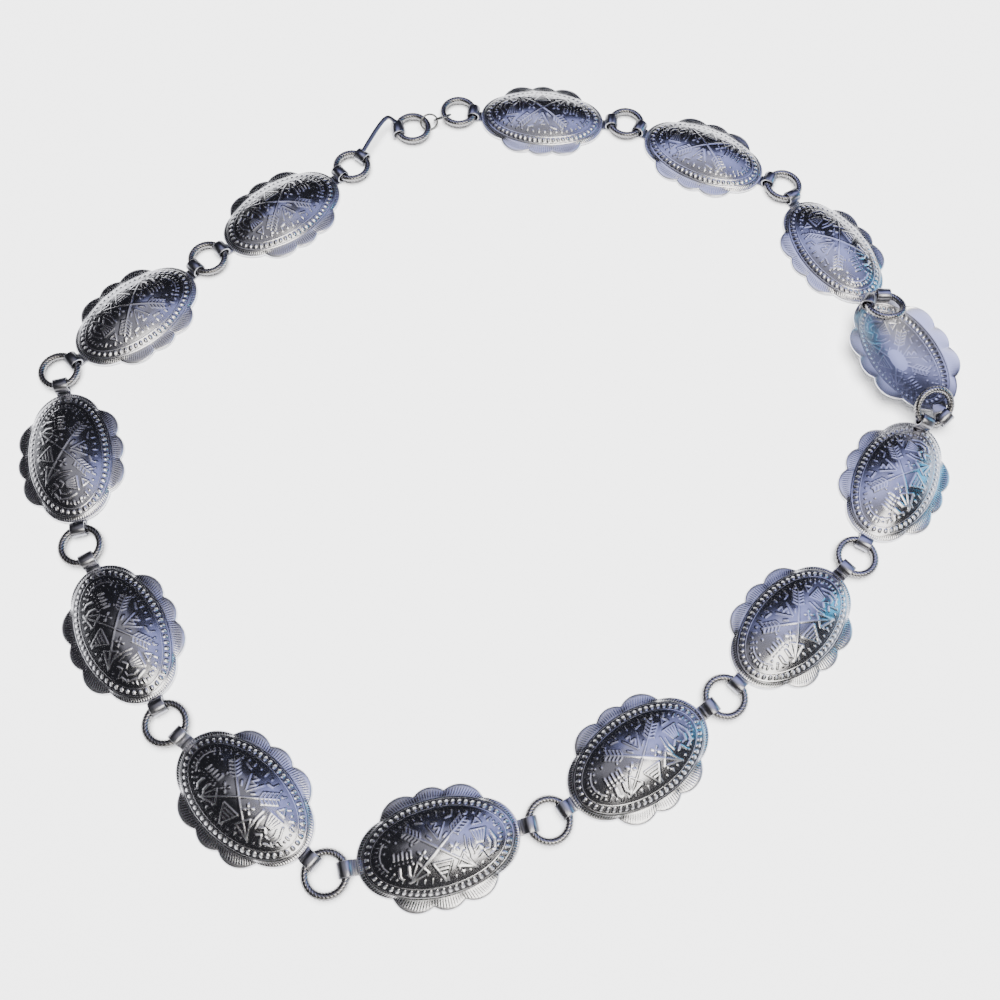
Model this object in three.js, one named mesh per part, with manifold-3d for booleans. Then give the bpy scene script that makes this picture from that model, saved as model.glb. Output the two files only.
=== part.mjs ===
// A metal concho belt, lying closed on a table: thirteen oval domed medallions (conchos) of
// pressed sheet, joined by rings of textured wire, and closed by a strip hook.
// Millimetres, +Z up. The origin is under the middle of the belt, on the surface it lies on.
import * as THREE from 'three';
import { mergeVertices } from 'three/addons/utils/BufferGeometryUtils.js';
import Module from 'manifold-3d';

const wasm = await Module();
wasm.setup();

// Sheet and gaps
const SHEET = 0.7;              // thickness of the pressed sheet and of the strips
const CLEARANCE = 0.4;          // play between a strip loop and the wire in it
const SOLDER = 0.05;            // how far a soldered strip sinks into the rim

// Concho: a dome on an elliptical foot, inside a scalloped rim
const CONCHO = { length: 50, foot: { x: 23.6, y: 14.5 }, dome: 6, crown: 2.6 };
// Shares of the foot at which the dome has a row of points
const OUTER_LEVELS = [0, 0.55, 0.85, 1];
const INNER_LEVELS = [0, 0.7, 1];

// Corners of the scalloped rim in one quarter, and how far each lobe bulges past its chord
const RIM_CORNERS = [{ x: 16.3, y: 11.3 }, { x: 4.8, y: 16.2 }];
const LOBES = {
  end: { bulge: CONCHO.length / 2 - RIM_CORNERS[0].x, steps: 6 },
  side: { bulge: 2.9, steps: 3 },
  middle: { bulge: 1.8, steps: 2 },
};

// Connecting rings, of round wire
const RING = { radius: 6.25, wire: 1.25, around: 14, across: 6 };

// Strip loops that hold the rings
const LOOP_BORE = RING.wire + CLEARANCE;
const LOOP_OUTER = LOOP_BORE + SHEET;
const LOOP_STEPS = 4;
const TAB_WIDTH = 4.8;
const TAB_ROOT = 2.2;           // how far the strip runs under the rim
const TIP_TO_RING = 9.2;        // from a concho's tip to the middle of its ring
const PITCH = CONCHO.length + 2 * TIP_TO_RING;

// Heights above the table
const RING_HEIGHT = LOOP_OUTER;
const RIM_HEIGHT = SHEET - SOLDER;
const CONCHO_TOP = RIM_HEIGHT + SHEET + CONCHO.dome;

// How the belt lies, seen from above: it is followed clockwise, and heading is the direction
// in which each concho points, in degrees from +X
const RIGHT_END = { x: -19.5, y: 302.6 };
const FIRST_RUN = [
  { name: 'concho_01', heading: -2.8, ring: 'ring_01_02' },
  { name: 'concho_02', heading: -25.7, ring: 'ring_02_03' },
  { name: 'concho_03', heading: -60.6, ring: null },
];
const TURNED = { name: 'concho_04', x: 146.2, y: 191.8, heading: -65.5 };
const SECOND_RUN_START = { x: 150.8, y: 164.4 };
const SECOND_RUN = [
  { name: 'concho_05', heading: -121, ring: 'ring_05_06' },
  { name: 'concho_06', heading: -135.1, ring: 'ring_06_07' },
  { name: 'concho_07', heading: -145.8, ring: 'ring_07_08' },
  { name: 'concho_08', heading: -166.4, ring: 'ring_08_09' },
  { name: 'concho_09', heading: 140.7, ring: 'ring_09_10' },
  { name: 'concho_10', heading: 121.8, ring: 'ring_10_11' },
  { name: 'concho_11', heading: 105.8, ring: 'ring_11_12' },
  { name: 'concho_12', heading: 46.9, ring: 'ring_12_13' },
  { name: 'concho_13', heading: 41.6, ring: 'left_end_ring' },
];

// The two rings that lean back over the turned concho. low is the direction of a ring's low
// side, and the strip loops of its two conchos lie in the directions neighbour and turned
const LEANING_RINGS = [
  { name: 'ring_03_04', x: 139.8, y: 208.6, z: 11.1, tilt: 17, low: 98, neighbour: 86, turned: 157 },
  { name: 'ring_04_05', x: 152.8, y: 168.6, z: 8.4, tilt: 40, low: -80, neighbour: -113, turned: -40 },
];

// Clasp
const CLASP_RING = { x: -37.8, y: 293.4 };
const HOOK = { eye: 52, grip: 190, gripWidth: 6, neckWidth: 1.8, opening: -50 };
const HOOK_BEND = { x: -48, y: 295.6, z: 5.4 };
const LINK = { wire: 0.4, halfWidth: 2.85, play: 0.85, lift: 0.05, roll: 45, around: 14, across: 5 };

const FINISH = { color: 0x6f727c, roughness: 0.28, metalness: 1 };

const rad = THREE.MathUtils.degToRad;
const deg = THREE.MathUtils.radToDeg;

function polar(length, heading) {
  return new THREE.Vector2(Math.cos(rad(heading)), Math.sin(rad(heading))).multiplyScalar(length);
}

function turnZ(degrees) {
  return new THREE.Matrix4().makeRotationZ(rad(degrees));
}

function shift(x, y, z) {
  return new THREE.Matrix4().makeTranslation(x, y, z);
}

// A closed geometry as a solid: only positions are kept, and the flat triangles that a lathe
// leaves at its poles are dropped
function solid(geometry) {
  const bare = geometry.clone();
  bare.deleteAttribute('normal');
  bare.deleteAttribute('uv');
  const merged = mergeVertices(bare, 1e-4);
  const corners = merged.index.array;
  const kept = [];
  for (let i = 0; i < corners.length; i += 3) {
    const [a, b, c] = [corners[i], corners[i + 1], corners[i + 2]];
    if (a !== b && b !== c && c !== a) kept.push(a, b, c);
  }
  return new wasm.Manifold(new wasm.Mesh({
    numProp: 3,
    vertProperties: new Float32Array(merged.attributes.position.array),
    triVerts: new Uint32Array(kept),
  }));
}

function geometryOf(body) {
  const mesh = body.getMesh();
  const geometry = new THREE.BufferGeometry();
  geometry.setAttribute('position', new THREE.BufferAttribute(mesh.vertProperties, 3));
  geometry.setIndex(new THREE.BufferAttribute(mesh.triVerts, 1));
  geometry.computeVertexNormals();
  return geometry;
}

// Points of one lobe, from its first corner up to but not including its last
function lobePoints(from, to, lobe) {
  const chord = new THREE.Vector2().subVectors(to, from);
  const radius = (chord.lengthSq() / 4 + lobe.bulge ** 2) / (2 * lobe.bulge);
  const outward = new THREE.Vector2(chord.y, -chord.x).normalize();
  const centre = new THREE.Vector2().addVectors(from, to).multiplyScalar(0.5)
    .addScaledVector(outward, lobe.bulge - radius);
  const half = Math.asin(chord.length() / 2 / radius);
  const middle = Math.atan2(outward.y, outward.x);
  const curve = new THREE.EllipseCurve(
    centre.x, centre.y, radius, radius, middle - half, middle + half);
  return curve.getPoints(lobe.steps).slice(0, -1);
}

// The scalloped outline of the rim, counterclockwise from the corner after the right tip
function rimOutline() {
  const [near, far] = RIM_CORNERS;
  const corners = [
    [near.x, near.y], [far.x, far.y], [-far.x, far.y], [-near.x, near.y],
    [-near.x, -near.y], [-far.x, -far.y], [far.x, -far.y], [near.x, -near.y],
  ].map(([x, y]) => new THREE.Vector2(x, y));
  const kinds = ['side', 'middle', 'side', 'end', 'side', 'middle', 'side', 'end'];
  return kinds.flatMap((kind, i) => {
    return lobePoints(corners[i], corners[(i + 1) % corners.length], LOBES[kind]);
  });
}

// Height of the dome over its foot, at a share of the way from the middle to the foot
function domeHeight(share) {
  return CONCHO.dome * (1 - share ** CONCHO.crown);
}

// The pressed shell: a lathe whose rows are stretched to the elliptical dome and the rim
function conchoShell() {
  const outline = rimOutline();
  const inner = INNER_LEVELS.map((share) => ({ share, inset: SHEET, z: domeHeight(share) }));
  const outer = OUTER_LEVELS.map((share) => ({ share, inset: 0, z: domeHeight(share) + SHEET })).reverse();
  const rows = [...inner, { rim: true, z: 0 }, { rim: true, z: SHEET }, ...outer];
  const profile = rows.map((row) => new THREE.Vector2(row.rim ? 1 : row.share, row.z));
  const lathe = new THREE.LatheGeometry(profile, outline.length);
  const position = lathe.attributes.position;
  for (let i = 0; i < position.count; i += 1) {
    const edge = outline[Math.floor(i / rows.length) % outline.length];
    const row = rows[i % rows.length];
    const angle = Math.atan2(edge.y / CONCHO.foot.y, edge.x / CONCHO.foot.x);
    const x = row.rim ? edge.x : row.share * (CONCHO.foot.x - row.inset) * Math.cos(angle);
    const y = row.rim ? edge.y : row.share * (CONCHO.foot.y - row.inset) * Math.sin(angle);
    position.setXYZ(i, x, y, RIM_HEIGHT + row.z);
  }
  return solid(lathe);
}

// How far a ring's wire bows inwards from its tangent at the edges of a strip
function wireBow(width) {
  return RING.radius - Math.sqrt(RING.radius ** 2 - (width / 2) ** 2);
}

// Cross-section of a strip loop, in the plane of radial x and height y, with a flat strip that
// runs out of it as far as root. The bore is drawn out towards the ring's middle, because the
// wire bows that way across the strip's width
function loopShape(root = 0) {
  const bow = wireBow(TAB_WIDTH);
  const shape = new THREE.Shape();
  const rightStart = root > 0 ? -Math.asin(LOOP_BORE / LOOP_OUTER) : -Math.PI / 2;
  if (root > 0) shape.moveTo(root, -LOOP_OUTER).lineTo(root, -LOOP_BORE);
  shape.absarc(0, 0, LOOP_OUTER, rightStart, Math.PI / 2, false);
  shape.absarc(-bow, 0, LOOP_OUTER, Math.PI / 2, 1.5 * Math.PI, false);
  const bore = new THREE.Path();
  bore.absarc(0, 0, LOOP_BORE, -Math.PI / 2, Math.PI / 2, false);
  bore.absarc(-bow, 0, LOOP_BORE, Math.PI / 2, 1.5 * Math.PI, false);
  shape.holes.push(bore);
  return shape;
}

// A shape in radial x and height, drawn out along the wire
function alongWire(shape, width) {
  return new THREE.ExtrudeGeometry(shape, { depth: width, bevelEnabled: false, curveSegments: LOOP_STEPS })
    .translate(0, 0, -width / 2)
    .rotateX(Math.PI / 2);
}

// A flat strip between two frames: it starts and ends square to their x axes
function strip(startFrame, endFrame, startWidth, endWidth) {
  const box = new THREE.BoxGeometry(1, 1, SHEET);
  const position = box.attributes.position;
  const corner = new THREE.Vector3();
  for (let i = 0; i < position.count; i += 1) {
    corner.fromBufferAttribute(position, i);
    const atStart = corner.x < 0;
    corner.x = 0;
    corner.y *= atStart ? startWidth : endWidth;
    corner.applyMatrix4(atStart ? startFrame : endFrame);
    position.setXYZ(i, corner.x, corner.y, corner.z);
  }
  return solid(box);
}

// Frame of a ring: its middle, with x towards the low side
function ringFrame(ring) {
  return shift(ring.x, ring.y, ring.z)
    .multiply(turnZ(ring.low ?? 0))
    .multiply(new THREE.Matrix4().makeRotationY(rad(ring.tilt ?? 0)));
}

// Frame on a ring's wire: x points out from the ring, y along the wire, z square to the ring
function wireFrame(ring, heading) {
  return ringFrame(ring)
    .multiply(turnZ(heading - (ring.low ?? 0)))
    .multiply(shift(RING.radius, 0, 0));
}

function conchoFrame(concho) {
  const frame = shift(concho.x, concho.y, 0).multiply(turnZ(concho.heading));
  if (!concho.turned) return frame;
  return frame.multiply(shift(0, 0, CONCHO_TOP)).multiply(new THREE.Matrix4().makeRotationX(Math.PI));
}

// A tab on a flat ring: the strip loop on its wire, and the strip that runs under the rim
function flatTab(ring, heading) {
  const root = TIP_TO_RING - RING.radius + TAB_ROOT;
  return solid(alongWire(loopShape(root), TAB_WIDTH).applyMatrix4(wireFrame(ring, heading)));
}

// The strip that stands on the turned concho's rim and carries a loop that lies over the rim
function standingStrip(onWire, wall) {
  const top = onWire.clone().multiply(shift(wall, 0, 0)).multiply(new THREE.Matrix4().makeRotationY(Math.PI / 2));
  const height = onWire.elements[14] - (CONCHO_TOP - RIM_HEIGHT) + SOLDER;
  return strip(top, top.clone().multiply(shift(height, 0, 0)), TAB_WIDTH, TAB_WIDTH);
}

// A tab on a leaning ring: the strip runs from the loop to the back of the nearest end lobe
function leaningTab(concho, ring, heading) {
  const onWire = wireFrame(ring, heading);
  const loop = solid(alongWire(loopShape(), TAB_WIDTH).applyMatrix4(onWire));
  const wire = new THREE.Vector3().setFromMatrixPosition(onWire);
  const fromConcho = new THREE.Vector2(wire.x - concho.x, wire.y - concho.y);
  const side = Math.sign(polar(1, concho.heading).dot(fromConcho));
  const lobeRadius = (RIM_CORNERS[0].y ** 2 + LOBES.end.bulge ** 2) / (2 * LOBES.end.bulge);
  const toLobe = polar(side * (CONCHO.length / 2 - lobeRadius), concho.heading).sub(fromConcho);
  const reach = toLobe.length() - lobeRadius + TAB_ROOT;
  const wall = LOOP_BORE + SHEET / 2;
  if (concho.turned && reach < wall) return loop.add(standingStrip(onWire, wall));
  const root = shift(wire.x, wire.y, concho.turned ? CONCHO_TOP - SHEET / 2 : SHEET / 2)
    .multiply(turnZ(deg(toLobe.angle())))
    .multiply(shift(reach, 0, 0));
  const start = concho.turned
    ? onWire.clone().multiply(turnZ(180)).multiply(shift(wall + wireBow(TAB_WIDTH), 0, 0))
    : onWire.clone().multiply(shift(wall, 0, 0));
  return loop.add(strip(start, root, TAB_WIDTH, TAB_WIDTH));
}

function tab(concho, ring, heading) {
  return ring.tilt ? leaningTab(concho, ring, heading) : flatTab(ring, heading);
}

const belt = new THREE.Group();

function addPiece(name, geometry) {
  const mesh = new THREE.Mesh(geometry, new THREE.MeshStandardMaterial(FINISH));
  mesh.name = name;
  belt.add(mesh);
}

function addConcho(concho, tabs) {
  const shell = solid(geometryOf(conchoShell()).applyMatrix4(conchoFrame(concho)));
  const body = tabs.reduce((sum, { ring, heading }) => sum.add(tab(concho, ring, heading)), shell);
  addPiece(concho.name, geometryOf(body));
}

function addRing(ring) {
  const torus = new THREE.TorusGeometry(RING.radius, RING.wire, RING.across, RING.around);
  addPiece(ring.name, torus.applyMatrix4(ringFrame(ring)));
}

// A flat ring at a plan position
function flatRing(name, plan) {
  return { name, x: plan.x, y: plan.y, z: RING_HEIGHT };
}

// Rings in their places: the flat ones follow from the headings, the leaning ones are given
const rightEnd = flatRing('right_end_ring', RIGHT_END);
const claspRing = flatRing('clasp_ring', CLASP_RING);
const [upperRing, lowerRing] = LEANING_RINGS;

let ring = rightEnd;
for (const step of FIRST_RUN) {
  const middle = polar(PITCH / 2, step.heading).add(new THREE.Vector2(ring.x, ring.y));
  const concho = { name: step.name, x: middle.x, y: middle.y, heading: step.heading };
  const end = polar(PITCH, step.heading).add(new THREE.Vector2(ring.x, ring.y));
  const next = step.ring ? flatRing(step.ring, end) : upperRing;
  const nextHeading = step.ring ? step.heading + 180 : upperRing.neighbour;
  addConcho(concho, [{ ring, heading: step.heading }, { ring: next, heading: nextHeading }]);
  if (step.ring) addRing(next);
  ring = next;
}

addConcho({ ...TURNED, turned: true }, LEANING_RINGS.map((lean) => ({ ring: lean, heading: lean.turned })));
LEANING_RINGS.forEach(addRing);

const second = polar(-TIP_TO_RING, SECOND_RUN[0].heading);
ring = { x: SECOND_RUN_START.x + second.x, y: SECOND_RUN_START.y + second.y };
for (const [i, step] of SECOND_RUN.entries()) {
  const middle = polar(PITCH / 2, step.heading).add(new THREE.Vector2(ring.x, ring.y));
  const concho = { name: step.name, x: middle.x, y: middle.y, heading: step.heading };
  const end = polar(PITCH, step.heading).add(new THREE.Vector2(ring.x, ring.y));
  const next = flatRing(step.ring, end);
  const first = i === 0
    ? { ring: lowerRing, heading: lowerRing.neighbour }
    : { ring, heading: step.heading };
  addConcho(concho, [first, { ring: next, heading: step.heading + 180 }]);
  addRing(next);
  ring = next;
}
const leftEnd = ring;
addRing(rightEnd);
addRing(claspRing);

// The hook: an eye on the left end ring, a narrow neck, and a grip folded over the clasp ring
function hook() {
  const wall = LOOP_BORE + SHEET / 2;
  const eyeFrame = wireFrame(leftEnd, HOOK.eye);
  const gripFrame = wireFrame(claspRing, HOOK.grip);
  const eye = solid(alongWire(loopShape(), TAB_WIDTH).applyMatrix4(eyeFrame));
  const open = rad(HOOK.opening);
  const bow = wireBow(HOOK.gripWidth);
  const shape = new THREE.Shape();
  shape.absarc(0, 0, LOOP_OUTER, open, Math.PI / 2, false);
  shape.absarc(-bow, 0, LOOP_OUTER, Math.PI / 2, Math.PI - open, false);
  shape.absarc(-bow, 0, LOOP_BORE, Math.PI - open, Math.PI / 2, true);
  shape.absarc(0, 0, LOOP_BORE, Math.PI / 2, open, true);
  const grip = solid(alongWire(shape, HOOK.gripWidth).applyMatrix4(gripFrame));
  const eyeTop = eyeFrame.clone().multiply(shift(0, 0, wall));
  const gripSide = -(HOOK.gripWidth - HOOK.neckWidth) / 2;
  const gripTop = gripFrame.clone().multiply(turnZ(180)).multiply(shift(0, -gripSide, wall));
  const from = new THREE.Vector3().setFromMatrixPosition(eyeTop);
  const to = new THREE.Vector3().setFromMatrixPosition(gripTop);
  const bendIn = deg(Math.atan2(HOOK_BEND.y - from.y, HOOK_BEND.x - from.x));
  const bendOut = deg(Math.atan2(to.y - HOOK_BEND.y, to.x - HOOK_BEND.x));
  const bend = shift(HOOK_BEND.x, HOOK_BEND.y, HOOK_BEND.z);
  const rise = bend.clone().multiply(turnZ(bendIn)).multiply(shift(HOOK.neckWidth / 2, 0, 0));
  const fall = bend.clone().multiply(turnZ(bendOut)).multiply(shift(-HOOK.neckWidth / 2, 0, 0));
  return eye
    .add(strip(eyeTop, rise, HOOK.neckWidth, HOOK.neckWidth))
    .add(strip(fall, gripTop, HOOK.neckWidth, HOOK.neckWidth))
    .add(grip);
}
addPiece('hook', geometryOf(hook()));

// Two small links, each turned a quarter from the other, between the clasp ring and the right end
function addLinks() {
  const span = new THREE.Vector2(rightEnd.x - claspRing.x, rightEnd.y - claspRing.y);
  const wireToWire = span.length() - 2 * RING.radius;
  const hold = RING.wire + LINK.play;
  const inner = (wireToWire + 2 * hold + CLEARANCE) / 4;
  const halfLength = inner + LINK.wire;
  const heading = deg(Math.atan2(span.y, span.x));
  const start = polar(RING.radius + inner - hold, heading).add(new THREE.Vector2(claspRing.x, claspRing.y));
  const end = polar(-RING.radius - inner + hold, heading).add(new THREE.Vector2(rightEnd.x, rightEnd.y));
  for (const [name, plan, roll] of [['clasp_link_a', start, LINK.roll], ['clasp_link_b', end, -LINK.roll]]) {
    const loop = new THREE.TorusGeometry(1, LINK.wire, LINK.across, LINK.around);
    const position = loop.attributes.position;
    const point = new THREE.Vector3();
    for (let i = 0; i < position.count; i += 1) {
      point.fromBufferAttribute(position, i);
      const around = Math.atan2(point.y, point.x);
      const off = Math.hypot(point.x, point.y) - 1;
      position.setXYZ(i, (halfLength + off) * Math.cos(around), (LINK.halfWidth + off) * Math.sin(around), point.z);
    }
    loop.rotateX(rad(roll));
    addPiece(name, loop.applyMatrix4(shift(plan.x, plan.y, RING_HEIGHT + LINK.lift).multiply(turnZ(heading))));
  }
}
addLinks();

// The belt's own origin: the middle of its outline, on the table
const box = new THREE.Box3().setFromObject(belt);
const middle = box.getCenter(new THREE.Vector3());
belt.position.set(-middle.x, -middle.y, -box.min.z);

const part = new THREE.Group();
part.add(belt);

export default part;
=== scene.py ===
"""Visual model of a metal concho belt, lying closed on a table.

Thirteen pressed oval medallions (conchos) with scalloped rims hang together by rings of
rope-twisted wire in folded strip tabs. A strip hook and two small links close the belt.
Shapes are worked out in millimetres and brought to metres as each piece is finished.
"""
import logging
import math
from collections.abc import Sequence
from dataclasses import dataclass, field
from enum import Enum

import bmesh
import bpy
import numpy as np
from mathutils import Matrix, Vector


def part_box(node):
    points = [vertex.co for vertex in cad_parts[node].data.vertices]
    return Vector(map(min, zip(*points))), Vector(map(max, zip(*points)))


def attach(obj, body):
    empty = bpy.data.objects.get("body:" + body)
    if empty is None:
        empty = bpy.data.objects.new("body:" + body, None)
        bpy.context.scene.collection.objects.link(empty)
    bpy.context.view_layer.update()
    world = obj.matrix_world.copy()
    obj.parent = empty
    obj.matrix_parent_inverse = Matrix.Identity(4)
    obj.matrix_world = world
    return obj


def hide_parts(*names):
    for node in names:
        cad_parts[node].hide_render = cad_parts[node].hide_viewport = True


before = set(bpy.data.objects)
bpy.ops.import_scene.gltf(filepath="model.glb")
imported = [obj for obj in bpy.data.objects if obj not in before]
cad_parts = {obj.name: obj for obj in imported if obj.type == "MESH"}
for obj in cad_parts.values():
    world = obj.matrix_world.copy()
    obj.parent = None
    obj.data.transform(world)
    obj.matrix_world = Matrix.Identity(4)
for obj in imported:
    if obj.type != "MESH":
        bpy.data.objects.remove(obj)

LOG = logging.getLogger("concho_belt")
BODY = "root"
MILLIMETRE = 0.001
METRES = Matrix.Scale(MILLIMETRE, 4)
PITCH = 68.4            # from ring to ring along the belt
RING_HEIGHT = 2.35      # middle of a flat ring's wire above the table
RING_RADIUS = 6.25      # to the middle of a ring's wire
RING_WIRE = 1.25        # radius of a ring's wire
SHEET = 0.7             # thickness of the pressed sheet and of the strips
BORE = 1.65             # inner radius of a strip loop
EDGE_SHARE = 0.3        # how far a strip's edges are softened, as a share of its thickness
CORNER_SHARE = 0.3      # how far the middle of a softened edge is set in, as a share of that


class Side(Enum):
    """Which side of a concho is finely made, because it is the one that shows."""

    FRONT = "front"
    BACK = "back"


# Mesh helpers

def node_middle(node: str) -> Vector:
    """Returns the middle of a CAD node's box, in millimetres."""
    low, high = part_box(node)
    return (low + high) / (2 * MILLIMETRE)


def polar(length: float, heading: float) -> Vector:
    """Returns a level vector of a length at a heading in degrees from +X."""
    turn = math.radians(heading)
    return Vector((length * math.cos(turn), length * math.sin(turn), 0.0))


def heading_of(way: Vector) -> float:
    """Returns the heading of a vector seen from above, in degrees from +X."""
    return math.degrees(math.atan2(way.y, way.x))


def turn_z(degrees: float) -> Matrix:
    """Returns a turn about Z."""
    return Matrix.Rotation(math.radians(degrees), 4, "Z")


def shift(x: float, y: float, z: float) -> Matrix:
    """Returns a move."""
    return Matrix.Translation((x, y, z))


def sweep(sections: Sequence[Sequence[Vector]], closed: bool) -> bmesh.types.BMesh:
    """Draws a loop of edges through cross-sections, one after another.

    Args:
        sections: the cross-sections in order, all with the same number of points.
        closed: True where the last section meets the first, False for two flat ends.

    Returns:
        A closed bmesh with its faces pointing outwards.
    """
    shape = bmesh.new()
    verts = bmesh.ops.create_circle(shape, segments=len(sections[0]), radius=1.0)["verts"]
    order = {vert: number for number, vert in enumerate(verts)}
    for vert, number in order.items():
        vert.co = sections[0][number]
    first = edges = list(shape.edges)
    following = list(sections[1:]) + ([sections[0]] if closed else [])
    for section in following:
        grown = bmesh.ops.extrude_edge_only(shape, edges=edges)["geom"]
        fresh = {}
        for vert in (item for item in grown if isinstance(item, bmesh.types.BMVert)):
            near = (edge.other_vert(vert) for edge in vert.link_edges)
            fresh[vert] = order[next(other for other in near if other in order)]
            vert.co = section[fresh[vert]]
        edges = [item for item in grown if isinstance(item, bmesh.types.BMEdge)
                 and item.verts[0] in fresh and item.verts[1] in fresh]
        order = fresh
    if closed:
        bmesh.ops.remove_doubles(shape, verts=shape.verts, dist=1e-4)
    else:
        bmesh.ops.contextual_create(shape, geom=first)
        bmesh.ops.contextual_create(shape, geom=edges)
    bmesh.ops.recalc_face_normals(shape, faces=shape.faces)
    return shape


def strip_section(place: Matrix, width: float, thickness: float) -> list[Vector]:
    """Cross-section of a strip with softened edges.

    Args:
        place: frame of the section, with Y across the strip and Z through it.
        width: width of the strip.
        thickness: thickness of the strip.

    Returns:
        Its points, in order round the section.
    """
    soft = EDGE_SHARE * thickness
    cut = CORNER_SHARE * soft
    half, thick = width / 2, thickness / 2
    corners = [
        (half, -thick + soft), (half, thick - soft), (half - cut, thick - cut),
        (half - soft, thick), (-half + soft, thick), (-half + cut, thick - cut),
        (-half, thick - soft), (-half, -thick + soft), (-half + cut, -thick + cut),
        (-half + soft, -thick), (half - soft, -thick), (half - cut, -thick + cut),
    ]
    return [place @ Vector((0.0, y, z)) for y, z in corners]


def strip(places: Sequence[Matrix], widths: Sequence[float],
          closed: bool = False) -> bmesh.types.BMesh:
    """Draws a strip through frames.

    Args:
        places: frames along the strip, X along it, Y across it and Z through it.
        widths: width of the strip at each frame.
        closed: True for an endless strip.

    Returns:
        The strip's bmesh.
    """
    sections = [strip_section(place, width, SHEET) for place, width in zip(places, widths)]
    return sweep(sections, closed)


def moved(shape: bmesh.types.BMesh, place: Matrix) -> bmesh.types.BMesh:
    """Moves a bmesh, and returns it."""
    bmesh.ops.transform(shape, matrix=place, verts=shape.verts)
    return shape


def bent_places(start: Matrix, end: Matrix, steps: int, pull: float) -> list[Matrix]:
    """Frames along a smooth bend from one frame to another.

    Args:
        start: first frame; the bend leaves along its X.
        end: last frame; the bend arrives along its X.
        steps: number of stretches.
        pull: how far each end keeps its direction, in millimetres.

    Returns:
        steps + 1 frames.
    """
    p0, p3 = start.translation, end.translation
    p1 = p0 + pull * start.col[0].to_3d().normalized()
    p2 = p3 - pull * end.col[0].to_3d().normalized()
    places = []
    for number in range(steps + 1):
        t = number / steps
        s = 1.0 - t
        point = s**3 * p0 + 3 * s * s * t * p1 + 3 * s * t * t * p2 + t**3 * p3
        along = (s * s * (p1 - p0) + 2 * s * t * (p2 - p1) + t * t * (p3 - p2)).normalized()
        across = start.col[1].to_3d().lerp(end.col[1].to_3d(), t)
        through = along.cross(across).normalized()
        across = through.cross(along)
        turn = Matrix((along, across, through)).transposed().to_4x4()
        places.append(Matrix.Translation(point) @ turn)
    return places


def join(pieces: Sequence[bmesh.types.BMesh]) -> bmesh.types.BMesh:
    """Puts several bmeshes into one and frees them.

    Args:
        pieces: the bmeshes.

    Returns:
        One bmesh with all of them.
    """
    whole = bmesh.new()
    for piece in pieces:
        store = bpy.data.meshes.new("joined")
        piece.to_mesh(store)
        piece.free()
        whole.from_mesh(store)
        bpy.data.meshes.remove(store)
    return whole


def put_in_scene(name: str, mesh: bpy.types.Mesh, finish: "MetalFinish",
                 node: str | None) -> bpy.types.Object:
    """Makes a finished piece of a mesh that is already in place, in metres.

    Args:
        name: name of the piece.
        mesh: its mesh.
        finish: its finish.
        node: the CAD node that it stands for, if any.

    Returns:
        The piece.
    """
    mesh.polygons.foreach_set("use_smooth", [True] * len(mesh.polygons))
    mesh.materials.clear()
    mesh.materials.append(finish.material())
    piece = bpy.data.objects.new(name, mesh)
    bpy.context.scene.collection.objects.link(piece)
    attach(piece, BODY)
    if node:
        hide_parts(node)
    LOG.info("%s: %d faces", name, len(mesh.polygons))
    return piece


def piece_from(name: str, shape: bmesh.types.BMesh, finish: "MetalFinish", node: str | None,
               place: Matrix = Matrix.Identity(4)) -> bpy.types.Object:
    """Makes a finished piece of a bmesh in millimetres.

    Args:
        name: name of the piece.
        shape: its bmesh, which is freed.
        finish: its finish.
        node: the CAD node that it stands for, if any.
        place: where the shape goes, in millimetres.

    Returns:
        The piece.
    """
    mesh = bpy.data.meshes.new(name)
    shape.to_mesh(mesh)
    shape.free()
    mesh.transform(METRES @ place)
    return put_in_scene(name, mesh, finish, node)


# Finishes

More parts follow.
